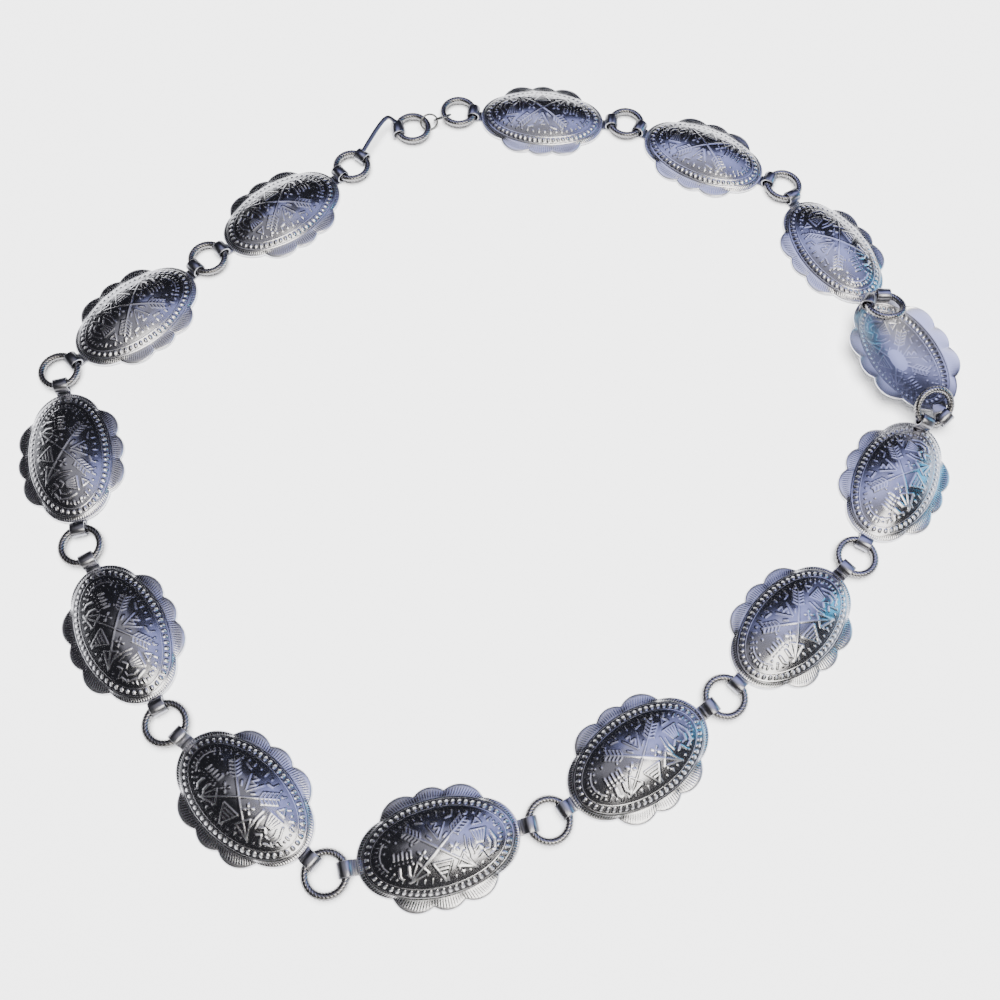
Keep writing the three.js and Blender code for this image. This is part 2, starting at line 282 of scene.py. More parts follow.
@dataclass(frozen=True)
class MetalFinish:
    """A polished metal whose hollows are darkened.

    A mesh's "wear" attribute is 1 on the high places that are rubbed bright and 0 in the
    darkened hollows, and soft clouds are added to it. The sum runs from dark to bright between
    worn_from and worn_to. Lengths are in metres.
    """

    name: str
    slot: str
    bright: tuple[float, float, float]
    dark: tuple[float, float, float]
    rough_bright: float
    rough_dark: float
    cloud_scale: float = 90.0
    cloud_detail: float = 4.0
    cloud_share: float = 0.35
    worn_from: float = 0.12
    worn_to: float = 1.15
    scratch_scale: float = 900.0
    scratch_detail: float = 3.0
    scratch_depth: float = 0.00002
    scratch_strength: float = 0.6

    def noise(self, tree: bpy.types.NodeTree, scale: float, detail: float) -> bpy.types.NodeSocket:
        """Adds a noise over the piece's own coordinates.

        Args:
            tree: the material's nodes.
            scale: number of its cells in a metre.
            detail: number of its finer layers.

        Returns:
            The socket with its value.
        """
        place = tree.nodes.new("ShaderNodeTexCoord")
        noise = tree.nodes.new("ShaderNodeTexNoise")
        noise.inputs["Scale"].default_value = scale
        noise.inputs["Detail"].default_value = detail
        tree.links.new(place.outputs["Object"], noise.inputs["Vector"])
        return noise.outputs["Fac"]

    def material(self) -> bpy.types.Material:
        """Makes the finish's material the first time, and finds it again after that.

        Returns:
            The material.
        """
        found = bpy.data.materials.get(self.name)
        if found:
            return found
        material = bpy.data.materials.new(self.name)
        material.use_nodes = True
        tree = material.node_tree
        nodes, links = tree.nodes, tree.links
        shader = nodes["Principled BSDF"]
        shader.inputs["Metallic"].default_value = 1.0
        wear = nodes.new("ShaderNodeAttribute")
        wear.attribute_name = "wear"
        rubbed = nodes.new("ShaderNodeMath")
        rubbed.operation = "MULTIPLY_ADD"
        rubbed.inputs[1].default_value = self.cloud_share
        links.new(self.noise(tree, self.cloud_scale, self.cloud_detail), rubbed.inputs[0])
        links.new(wear.outputs["Fac"], rubbed.inputs[2])
        level = nodes.new("ShaderNodeMapRange")
        level.inputs["From Min"].default_value = self.worn_from
        level.inputs["From Max"].default_value = self.worn_to
        links.new(rubbed.outputs["Value"], level.inputs["Value"])
        tone = nodes.new("ShaderNodeMix")
        tone.data_type = "RGBA"
        tone.inputs["A"].default_value = (*self.dark, 1.0)
        tone.inputs["B"].default_value = (*self.bright, 1.0)
        links.new(level.outputs["Result"], tone.inputs["Factor"])
        links.new(tone.outputs["Result"], shader.inputs["Base Color"])
        rough = nodes.new("ShaderNodeMapRange")
        rough.inputs["To Min"].default_value = self.rough_dark
        rough.inputs["To Max"].default_value = self.rough_bright
        links.new(level.outputs["Result"], rough.inputs["Value"])
        links.new(rough.outputs["Result"], shader.inputs["Roughness"])
        scratches = self.noise(tree, self.scratch_scale, self.scratch_detail)
        bump = nodes.new("ShaderNodeBump")
        bump.inputs["Distance"].default_value = self.scratch_depth
        bump.inputs["Strength"].default_value = self.scratch_strength
        links.new(scratches, bump.inputs["Height"])
        links.new(bump.outputs["Normal"], shader.inputs["Normal"])
        return material


CONCHO_FINISH = MetalFinish(
    "pressed_silver_tone", "concho_metal", (0.78, 0.78, 0.82), (0.3, 0.3, 0.33), 0.34, 0.2)
BACK_FINISH = MetalFinish(
    "unpolished_back", "concho_metal", (0.9, 0.9, 0.93), (0.27, 0.27, 0.3), 0.3, 0.33)
LINK_FINISH = MetalFinish(
    "dark_wire", "strip_metal", (0.4, 0.39, 0.38), (0.2, 0.2, 0.2), 0.25, 0.35)
RING_FINISH = MetalFinish(
    "rope_wire_silver_tone", "ring_metal", (0.4, 0.39, 0.4), (0.04, 0.04, 0.04), 0.24, 0.4)
STRIP_FINISH = MetalFinish(
    "bright_strip", "strip_metal", (0.6, 0.61, 0.66), (0.3, 0.3, 0.33), 0.2, 0.3)


def set_wear(mesh: bpy.types.Mesh, values: np.ndarray) -> None:
    """Stores how far each vertex is rubbed bright.

    Args:
        mesh: the mesh.
        values: one number from 0 to 1 a vertex.
    """
    wear = mesh.attributes.new("wear", "FLOAT", "POINT")
    wear.data.foreach_set("value", np.clip(values, 0.0, 1.0).astype(np.float32))


# Concho

@dataclass(frozen=True)
class Stroke:
    """A raised mark between two points of the field. A dot has both in one place."""

    x0: float
    y0: float
    x1: float
    y1: float
    width: float


@dataclass
class StampedPattern:
    """The marks stamped into a concho's field, in millimetres from its middle.

    A mark stands at full height over a share of its width, slim, and slopes down over twice
    the length soft at each edge.
    """

    height: float = 0.17
    soft: float = 0.17
    slim: float = 0.72
    fine: float = 0.42
    arc_step: float = 18.0
    arrow_shaft: float = 0.62
    arrow_head: float = 5.2
    arrow_half: float = 2.3
    feather_length: float = 4.9
    feather_half: float = 1.75
    # Bars of the feather: first one, pitch, foot beside the shaft, and slant and reach from it
    bar_start: float = 0.9
    bar_pitch: float = 1.15
    bar_foot: float = 0.45
    bar_slant: float = 0.75
    bar_reach: float = 1.25
    petal: float = 1.15
    strokes: list[Stroke] = field(default_factory=list)
    # The scattered dots: places along and across the concho
    scattered: tuple[tuple[float, float], ...] = (
        (-15.6, 3.4), (-14.2, 4.6), (-12.4, 3.8), (-16.4, 1.4), (-8.9, 0.8), (-7.9, 2.1),
        (6.4, 2.2), (7.4, 3.4), (16.0, 4.2), (17.6, 2.6), (-17.4, -1.6), (-9.8, 5.6),
        (9.4, 7.6), (-4.6, -7.2), (-5.8, -8.6), (5.0, -7.6), (6.1, -8.6), (-15.2, -3.0),
        (-14.4, -4.8), (8.0, -2.8), (-8.4, -3.2))

    def line(self, x0: float, y0: float, x1: float, y1: float, width: float = 0.0) -> None:
        """Adds a straight mark; a width of 0 is the fine one."""
        self.strokes.append(Stroke(x0, y0, x1, y1, width or self.fine))

    def dot(self, x: float, y: float, width: float) -> None:
        """Adds a round mark."""
        self.strokes.append(Stroke(x, y, x, y, width))

    def path(self, width: float, *corners: tuple[float, float]) -> None:
        """Adds a mark that runs from corner to corner."""
        for start, end in zip(corners, corners[1:]):
            self.line(*start, *end, width)

    def arc(self, x: float, y: float, radius: float, start: float, end: float) -> None:
        """Adds a curved mark.

        Args:
            x: middle of the arc, along the concho.
            y: middle of the arc, across it.
            radius: its radius.
            start: first angle in degrees.
            end: last angle in degrees.
        """
        count = int(abs(end - start) / self.arc_step)
        turns = np.radians(np.linspace(start, end, count + 1))
        self.path(self.fine, *zip(x + radius * np.cos(turns), y + radius * np.sin(turns)))

    def arrow(self, tail: Vector, tip: Vector, bars: int) -> None:
        """Adds an arrow with a barred feather end and an open head.

        Args:
            tail: the feathered end.
            tip: the point.
            bars: number of bars on each side of the shaft.
        """
        along = (tip - tail).normalized()
        across = Vector((-along.y, along.x))
        self.line(*tail, *tip, self.arrow_shaft)
        wings = [tip - along * self.arrow_head + across * side * self.arrow_half
                 for side in (-1, 1)]
        self.line(*wings[0], *wings[1], 0.45)
        for side, wing in zip((-1, 1), wings):
            self.line(*tip, *wing, 0.55)
            rail = tail + across * side * self.feather_half
            self.line(*rail, *(rail + along * self.feather_length), 0.3)
            for number in range(bars):
                down = self.bar_start + number * self.bar_pitch
                foot = tail + along * down + across * side * self.bar_foot
                end = foot - along * self.bar_slant + across * side * self.bar_reach
                self.line(*foot, *end, 0.5)

    def striped_triangle(self, x: float, top: float, half: float, depth: float) -> None:
        """Adds a triangle that points down, with level stripes in it.

        Args:
            x: middle of the triangle.
            top: level of its upper side.
            half: half its width.
            depth: how far it reaches down.
        """
        self.path(0.5, (x - half, top), (x + half, top), (x, top - depth), (x - half, top))
        for share in (0.2, 0.4, 0.6):
            inner = half * (1 - share) - 0.5
            self.line(x - inner, top - share * depth, x + inner, top - share * depth, 0.45)

    def floret(self, x: float, y: float) -> None:
        """Adds a small flower of four petals round a dot.

        Args:
            x: its middle, along the concho.
            y: its middle, across it.
        """
        self.dot(x, y, 0.7)
        for turn in range(45, 405, 90):
            petal = polar(self.petal, turn).to_2d()
            inner, outer = (Vector((x, y)) + reach * petal for reach in (0.7, 1.3))
            self.line(*inner, *outer, 0.75)

    def bird(self) -> None:
        """Adds the figure with a barred body and bent wings."""
        self.path(0.5, (12.5, 5.9), (11.2, 3.9), (13.8, 3.9), (12.5, 5.9))
        self.line(10.2, 2.3, 14.8, 2.3, 0.6)
        for step in range(5):
            self.line(10.5 + step, 1.8, 11.6 + 0.45 * step, -1.4, 0.42)
        self.path(0.5, (8.2, 1.2), (8.0, -1.8), (8.5, -4.8))
        self.path(0.42, (9.4, 0.2), (9.3, -2.0), (9.9, -4.2))
        self.path(0.5, (15.9, 1.4), (17.2, -1.4), (16.6, -4.6), (14.4, -5.6))
        self.path(0.42, (15.0, -0.2), (15.6, -2.0), (15.0, -3.8), (13.6, -3.9))
        self.path(0.5, (10.6, -3.3), (11.9, -2.1), (13.0, -3.2))
        self.path(0.5, (11.0, -5.2), (12.4, -4.2), (13.4, -6.0))

    def plumes(self, x: float, y: float) -> None:
        """Adds two leaning plumes under a row of short upright marks.

        Args:
            x: middle of the figure, along the concho.
            y: middle of the figure, across it.
        """
        for step in range(5):
            left = x - 2.6 + 1.3 * step
            self.line(left, y + 0.2, left + 0.2, y + 2.2 - 0.5 * (step % 2), 0.7)
            self.dot(left, y - 0.9, 0.55)
        for left in (x - 1.3, x + 1.5):
            self.line(left, y - 2.2, left - 0.3, y - 4.2, 1.15)
            self.line(left - 0.3, y - 4.2, left + 0.3, y - 5.2, 0.7)

    def top_rays(self) -> None:
        """Adds the two rays that open upwards from the middle, and the zigzag between them."""
        self.line(0.1, 2.0, -2.4, 6.6)
        self.line(0.5, 2.0, 3.1, 6.6)
        self.line(-2.9, 3.3, -1.9, 2.2, 0.7)
        self.line(3.0, 3.1, 2.0, 2.3, 0.7)
        self.path(0.5, (-0.9, 6.8), (0.7, 6.8), (-0.5, 5.2), (1.4, 5.2), (0.2, 3.8))

    def edge_marks(self, reach_x: float, reach_y: float, count: int) -> None:
        """Adds the row of small marks just inside the field's edge.

        Args:
            reach_x: half the row's length.
            reach_y: half the row's width.
            count: number of marks.
        """
        for number in range(count):
            turn = 2 * math.pi * number / count
            x, y = reach_x * math.cos(turn), reach_y * math.sin(turn)
            if number % 2:
                self.dot(x, y, 0.7)
            else:
                self.line(x * 1.02, y * 1.03, x * 0.965, y * 0.93, 0.5)

    def draw(self) -> None:
        """Puts all the marks of the field in place."""
        self.arrow(Vector((-9.6, 6.4)), Vector((9.9, -8.0)), 5)
        self.arrow(Vector((9.4, 6.6)), Vector((-9.7, -8.1)), 5)
        self.striped_triangle(0.4, -4.6, 3.0, 5.2)
        self.top_rays()
        self.floret(4.6, -1.3)
        self.floret(-5.2, -1.5)
        self.bird()
        self.plumes(-11.2, -1.6)
        self.line(-5.8, 8.0, -3.4, 7.6, 0.5)
        self.line(5.6, 7.9, 3.6, 7.6, 0.5)
        for x, y in self.scattered:
            self.dot(x, y, 0.85)
        self.arc(-12.6, 0.2, 5.3, 130, 230)
        self.edge_marks(19.0, 9.5, 50)

    def relief(self, x: np.ndarray, y: np.ndarray) -> np.ndarray:
        """Works out how high the marks stand.

        Args:
            x: places along the concho.
            y: places across the concho.

        Returns:
            The height at each place, from 0 to the marks' full height.
        """
        level = np.zeros_like(x)
        for mark in self.strokes:
            dx, dy = mark.x1 - mark.x0, mark.y1 - mark.y0
            span = dx * dx + dy * dy
            share = np.zeros_like(x)
            if span > 0:
                share = np.clip(((x - mark.x0) * dx + (y - mark.y0) * dy) / span, 0.0, 1.0)
            away = np.hypot(x - mark.x0 - share * dx, y - mark.y0 - share * dy)
            reach = self.slim * mark.width / 2 + self.soft
            inside = np.clip((reach - away) / (2 * self.soft), 0.0, 1.0)
            level = np.maximum(level, inside * inside * (3 - 2 * inside))
        return self.height * level


@dataclass
class Concho:
    """A pressed oval medallion: a dome with a stamped field, inside a scalloped, fluted rim.

    Its mesh starts as a flat disc with rows around it. The disc becomes the stamped field,
    and the rows become the bead row, the border lines, the rim, its edge and the other side.
    The dome is a hyperbola over its foot, and a larger crown makes its top rounder.
    """

    foot_x: float = 23.4
    foot_y: float = 14.0
    dome: float = 5.4
    crown: float = 1.2
    rim_height: float = 0.65
    half_length: float = 25.0
    corners: tuple[tuple[float, float], ...] = ((16.3, 11.3), (4.8, 16.2))
    side_bulge: float = 2.9
    middle_bulge: float = 1.8
    columns: int = 160
    rows: int = 80
    field_inset: float = 3.0
    # Rows over the dome: distance inside the foot, and share of the border line's height
    dome_rows: tuple[tuple[float, float], ...] = (
        (2.84, 0.0), (2.74, 1.0), (2.64, 1.0), (2.54, 0.0), (2.3, 0.0), (2.1, 0.0), (1.9, 0.0),
        (1.68, 0.0), (1.46, 0.0), (1.24, 0.0), (1.02, 0.0), (0.8, 0.0), (0.58, 0.0), (0.42, 1.0),
        (0.28, 1.0), (0.14, 0.0), (0.0, 0.0))
    # Rows over the rim: share of the way from the foot to the outline, and share of the flutes
    rim_rows: tuple[tuple[float, float], ...] = (
        (0.1, 0.2), (0.22, 1.0), (0.45, 1.0), (0.66, 0.9), (0.78, 0.1), (0.93, 0.0))
    # Rows round the edge: distance inside the outline and share of the sheet's thickness
    edge_rows: tuple[tuple[float, float], ...] = ((0.12, 0.97), (0.0, 0.72), (0.0, 0.28), (0.12, 0.03))
    # Rows of the plain side, as shares of its foot
    plain_rows: tuple[float, ...] = (1.0, 0.8, 0.4)
    line_height: float = 0.035
    # The foot stands over the rim's outline, and the rim falls to its outline except at the tips
    foot_lift: float = 0.6
    rim_drop: float = 0.5
    drop_ease: float = 1.5
    beads: int = 56
    bead_inset: float = 1.55
    bead_reach: float = 0.75
    bead_half: float = 0.5
    bead_height: float = 0.28
    flutes: int = 160
    flute_height: float = 0.22
    # How strongly the stamping comes through to the back: marks of the field, and flutes
    back_marks: float = 0.5
    back_flutes: float = 0.15
    # How far each place is rubbed bright
    plain_wear: float = 0.5
    ground_wear: float = 0.1
    bead_gap_wear: float = 0.25
    line_wear: float = 0.4
    rim_wear: float = 0.9
    groove_wear: float = 0.1
    edge_wear: float = 0.8
    # Steps of the curves that the outline and the bead row are read from
    lobe_steps: int = 160
    bead_line_steps: int = 2000
    # How late the field's even spacing gives way to the bead row's, towards its edge
    field_ease: int = 4

    @property
    def row_count(self) -> int:
        """Number of rows round the disc."""
        return sum(map(len, (self.dome_rows, self.rim_rows, self.edge_rows, self.plain_rows)))

    @property
    def top(self) -> float:
        """Height of the dome's top over the table."""
        return self.rim_height + SHEET + self.foot_lift + self.dome

    @property
    def tip_radius(self) -> float:
        """Radius of the scallop at each tip."""
        half, bulge = self.corners[0][1], self.half_length - self.corners[0][0]
        return (half**2 + bulge**2) / (2 * bulge)

    def disc(self) -> bpy.types.Mesh:
        """Builds the flat start: a round disc of radius 1, and rows that are 1 apart.

        Returns:
            Its mesh.
        """
        shape = bmesh.new()
        bmesh.ops.create_grid(shape, x_segments=self.columns, y_segments=self.rows, size=1.0)
        for vert in shape.verts:
            x, y = vert.co.x, vert.co.y
            vert.co = (x * math.sqrt(1 - y * y / 2), y * math.sqrt(1 - x * x / 2), 0.0)
        edges = [edge for edge in shape.edges if edge.is_boundary]
        for row in range(self.row_count):
            grown = bmesh.ops.extrude_edge_only(shape, edges=edges)["geom"]
            fresh = [item for item in grown if isinstance(item, bmesh.types.BMVert)]
            known = set(fresh)
            edges = [item for item in grown if isinstance(item, bmesh.types.BMEdge)
                     and item.verts[0] in known and item.verts[1] in known]
            grow = (row + 2) / (row + 1)
            bmesh.ops.scale(shape, vec=(grow, grow, 1.0), verts=fresh)
        bmesh.ops.contextual_create(shape, geom=edges)
        mesh = bpy.data.meshes.new("concho_disc")
        shape.to_mesh(mesh)
        shape.free()
        return mesh

    def around(self, angle: np.ndarray) -> np.ndarray:
        """Finds where on the disc's boundary an angle lies.

        Args:
            angle: angles in radians.

        Returns:
            Their shares of half the boundary, counted from +X, from -1 to 1.
        """
        turn = np.abs(angle)
        side, end = self.rows / 2, self.columns / 2
        on_end = side * math.sqrt(2) * np.sin(turn)
        cells = np.where(turn < math.pi / 4, on_end, side + end * (1 - math.sqrt(2) * np.cos(turn)))
        cells = np.where(turn > 3 * math.pi / 4, 2 * (side + end) - on_end, cells)
        return np.sign(angle) * cells / (2 * (side + end))

    def bead_line(self) -> tuple[np.ndarray, np.ndarray]:
        """Measures half of the ellipse that the bead row follows.

        Returns:
            Angles on it, and its length up to each of them.
        """
        turns = np.linspace(0, math.pi, self.bead_line_steps + 1)
        xs = (self.foot_x - self.bead_inset) * np.cos(turns)
        ys = (self.foot_y - self.bead_inset) * np.sin(turns)
        return turns, np.concatenate([[0.0], np.cumsum(np.hypot(np.diff(xs), np.diff(ys)))])

    def even_angle(self, share: np.ndarray) -> np.ndarray:
        """Angles on the bead row's ellipse that lie at shares of half its length."""
        turns, lengths = self.bead_line()
        return np.sign(share) * np.interp(np.abs(share), lengths / lengths[-1], turns)

    def lobe(self, start: np.ndarray, end: np.ndarray, bulge: float) -> np.ndarray:
        """Points of one scallop.

        Args:
            start: its first corner.
            end: its last corner.
            bulge: how far it stands out past its chord.

        Returns:
            Its points, without the last.
        """
        chord = end - start
        half = np.hypot(*chord) / 2
        radius = (half * half + bulge * bulge) / (2 * bulge)
        outward = np.array([chord[1], -chord[0]]) / (2 * half)
        middle = (start + end) / 2 + outward * (bulge - radius)
        reach = math.asin(half / radius)
        turn = math.atan2(outward[1], outward[0])
        turns = np.linspace(turn - reach, turn + reach, self.lobe_steps, endpoint=False)
        return middle + radius * np.stack([np.cos(turns), np.sin(turns)], 1)

    def outline(self, angle: np.ndarray) -> tuple[np.ndarray, np.ndarray]:
        """Finds places on the scalloped outline.

        Args:
            angle: angles of the foot's ellipse.

        Returns:
            The places along and across the concho.
        """
        (near_x, near_y), (far_x, far_y) = self.corners
        corners = np.array([
            (near_x, near_y), (far_x, far_y), (-far_x, far_y), (-near_x, near_y),
            (-near_x, -near_y), (-far_x, -far_y), (far_x, -far_y), (near_x, -near_y)])
        end_bulge = self.half_length - near_x
        bulges = [self.side_bulge, self.middle_bulge, self.side_bulge, end_bulge] * 2
        points = np.concatenate([
            self.lobe(corners[i], corners[(i + 1) % len(corners)], bulge)
            for i, bulge in enumerate(bulges)])
        turns = np.arctan2(points[:, 1] / self.foot_y, points[:, 0] / self.foot_x)
        order = np.argsort(turns)
        turns, points = turns[order], points[order]
        period = 2 * math.pi
        return (np.interp(angle, turns, points[:, 0], period=period),
                np.interp(angle, turns, points[:, 1], period=period))

    def dome_level(self, x: np.ndarray, y: np.ndarray, inset: float) -> np.ndarray:
        """Works out how high the dome stands over its foot.

        Args:
            x: places along the concho.
            y: places across the concho.
            inset: how far the foot of this side lies inside the outer one.

        Returns:
            The height at each place.
        """
        share = np.minimum(np.hypot(x / (self.foot_x - inset), y / (self.foot_y - inset)), 1.0)
        fall = np.hypot(share, self.crown) - self.crown
        return self.dome * (1 - fall / (math.hypot(1.0, self.crown) - self.crown))

    def rim_level(self, step: float, turn: np.ndarray) -> np.ndarray:
        """Height of the rim at a share of its width and at angles of the foot's ellipse."""
        fall = self.rim_drop * np.minimum(1.0, self.drop_ease * np.abs(np.sin(turn)))
        return self.foot_lift * (1 - step) - fall * step**2

    def mesh(self, side: Side, pattern: StampedPattern) -> bpy.types.Mesh:
        """Builds a concho that lies flat, with its middle over the origin.

        Args:
            side: the side that shows and is finely made.
            pattern: the marks of its field.

        Returns:
            Its mesh, in millimetres.
        """
        mesh = self.disc()
        count = len(mesh.vertices)
        flat = np.empty(count * 3, np.float32)
        mesh.vertices.foreach_get("co", flat)
        flat = flat.reshape(-1, 3).astype(float)
        radius = np.hypot(flat[:, 0], flat[:, 1])
        angle = np.arctan2(flat[:, 1], flat[:, 0])
        row = np.rint(radius).astype(int) - 1
        in_field = row < 1
        share = self.around(angle)
        ease = np.clip(radius, 0, 1) ** self.field_ease
        turn = angle + ease * (self.even_angle(share) - angle)

        # The finely made side, and the plain one: inset of its foot and height of its rim
        fine_inset, fine_base = (0.0, SHEET) if side is Side.FRONT else (SHEET, 0.0)
        plain_inset, plain_base = (SHEET, 0.0) if side is Side.FRONT else (0.0, SHEET)
        foot_x, foot_y = self.foot_x - fine_inset, self.foot_y - fine_inset
        x = np.where(in_field, (foot_x - self.field_inset) * radius * np.cos(turn), 0.0)
        y = np.where(in_field, (foot_y - self.field_inset) * radius * np.sin(turn), 0.0)
        z = np.zeros(count)
        wear = np.full(count, self.plain_wear)
        through, fluting = (1.0, 1.0) if side is Side.FRONT else (self.back_marks, self.back_flutes)
        marks = through * pattern.relief(x[in_field], y[in_field])
        fine_foot = fine_base + self.foot_lift
        z[in_field] = marks + self.dome_level(x[in_field], y[in_field], fine_inset) + fine_foot
        wear[in_field] = self.ground_wear + (1 - self.ground_wear) * marks / pattern.height

        out_x, out_y = self.outline(turn)
        steps = 2 * (self.rows + self.columns)
        place = share * steps / 2
        bead_pitch = steps / self.beads
        bead_length = 2 * self.bead_line()[1][-1] / steps
        next_row = 1
        for inset, line in self.dome_rows:
            here = row == next_row
            x[here] = (foot_x - inset) * np.cos(turn[here])
            y[here] = (foot_y - inset) * np.sin(turn[here])
            along = (np.mod(place[here], bead_pitch) - bead_pitch / 2) * bead_length
            off = (along / self.bead_half) ** 2 + ((inset - self.bead_inset) / self.bead_reach) ** 2
            bead = self.bead_height * np.sqrt(np.clip(1 - off, 0, 1))
            rise = bead + line * self.line_height
            z[here] = self.dome_level(x[here], y[here], fine_inset) + fine_foot + rise
            rubbed = np.maximum(bead / self.bead_height, self.line_wear * line)
            wear[here] = self.bead_gap_wear + (1 - self.bead_gap_wear) * rubbed
            next_row += 1
        flute = np.cos(2 * math.pi * self.flutes * place / steps)
        for step, strength in self.rim_rows:
            here = row == next_row
            x[here] = (1 - step) * foot_x * np.cos(turn[here]) + step * out_x[here]
            y[here] = (1 - step) * foot_y * np.sin(turn[here]) + step * out_y[here]
            groove = fluting * strength * (1 - flute[here]) / 2
            z[here] = fine_base + self.rim_level(step, turn[here]) - self.flute_height * groove
            wear[here] = self.rim_wear - (self.rim_wear - self.groove_wear) * groove
            next_row += 1
        for inset, level in self.edge_rows:
            here = row == next_row
            shrink = 1 - inset / np.hypot(out_x[here], out_y[here])
            x[here], y[here] = shrink * out_x[here], shrink * out_y[here]
            thickness = SHEET * (level if side is Side.FRONT else 1 - level)
            z[here] = thickness + self.rim_level(1.0, turn[here])
            wear[here] = self.edge_wear
            next_row += 1
        plain_x, plain_y = self.foot_x - plain_inset, self.foot_y - plain_inset
        for reach in self.plain_rows:
            here = row == next_row
            x[here] = reach * plain_x * np.cos(turn[here])
            y[here] = reach * plain_y * np.sin(turn[here])
            z[here] = plain_base + self.foot_lift + self.dome_level(x[here], y[here], plain_inset)
            next_row += 1

        solid = np.stack([x, y, self.rim_height + z], 1).astype(np.float32)
        mesh.vertices.foreach_set("co", solid.ravel())
        set_wear(mesh, wear)
        shape = bmesh.new()
        shape.from_mesh(mesh)
        bmesh.ops.recalc_face_normals(shape, faces=shape.faces)
        shape.to_mesh(mesh)
        shape.free()
        return mesh


# Rings, tabs and clasp

@dataclass
class RopeRing:
    """A ring of wire with a rope twist rolled into it."""

    radius: float = RING_RADIUS
    wire: float = RING_WIRE
    strands: int = 5
    ridges: int = 36
    groove: float = 0.26
    groove_edge: float = 1.2
    points_a_strand: int = 4

    def mesh(self) -> bpy.types.Mesh:
        """Builds the ring about the origin, in its own plane.

        Returns:
            Its mesh, in millimetres.
        """
        around, across = self.ridges * self.points_a_strand, self.strands * self.points_a_strand
        sections = []
        for step in range(around):
            turn = 2 * math.pi * step / around
            ring_turn = Matrix.Rotation(turn, 4, "Z")
            section = []
            for part in range(across):
                roll = 2 * math.pi * part / across
                wave = abs(math.cos((self.strands * roll + self.ridges * turn) / 2))
                tube = self.wire - self.groove * (1 - wave) ** self.groove_edge
                point = Vector((self.radius + tube * math.cos(roll), 0.0, tube * math.sin(roll)))
                section.append(ring_turn @ point)
            sections.append(section)
        shape = sweep(sections, True)
        mesh = bpy.data.meshes.new("rope_ring")
        shape.to_mesh(mesh)
        shape.free()
        places = np.empty(len(mesh.vertices) * 3, np.float32)
        mesh.vertices.foreach_get("co", places)
        places = places.reshape(-1, 3)
        tube = np.hypot(np.hypot(places[:, 0], places[:, 1]) - self.radius, places[:, 2])
        set_wear(mesh, (tube - self.wire + self.groove) / self.groove)
        return mesh


@dataclass(frozen=True)
class RingPlace:
    """Where a ring lies: its middle, and its tilt down towards a heading in degrees."""

    name: str
    middle: Vector
    tilt: float = 0.0
    low: float = 0.0

    @property
    def frame(self) -> Matrix:
        """Frame of the ring, with X towards its low side."""
        lean = Matrix.Rotation(math.radians(self.tilt), 4, "Y")
        return Matrix.Translation(self.middle) @ turn_z(self.low) @ lean

    def on_wire(self, heading: float) -> Matrix:
        """Frame on the wire at a heading: X out from the ring, Y along the wire."""
        return self.frame @ turn_z(heading - self.low) @ shift(RING_RADIUS, 0, 0)


@dataclass(frozen=True)
class ConchoPlace:
    """Where a concho lies: its middle and the heading that the belt is followed in."""

    name: str
    middle: Vector
    heading: float
    turned: bool = False

    def frame(self, top: float) -> Matrix:
        """Frame of the stamped pattern, whose upper side points into the loop.

        Args:
            top: height of a concho's top over the table, which a turned one hangs from.

        Returns:
            The frame, in millimetres.
        """
        place = shift(self.middle.x, self.middle.y, 0) @ turn_z(self.heading)
        if self.turned:
            place = place @ shift(0, 0, top) @ Matrix.Rotation(math.pi, 4, "X")
        return place @ turn_z(180)


# A concho's place, and the rings that its tabs hold with the tabs' headings on them
Laid = tuple[ConchoPlace, list[tuple[str, float]]]


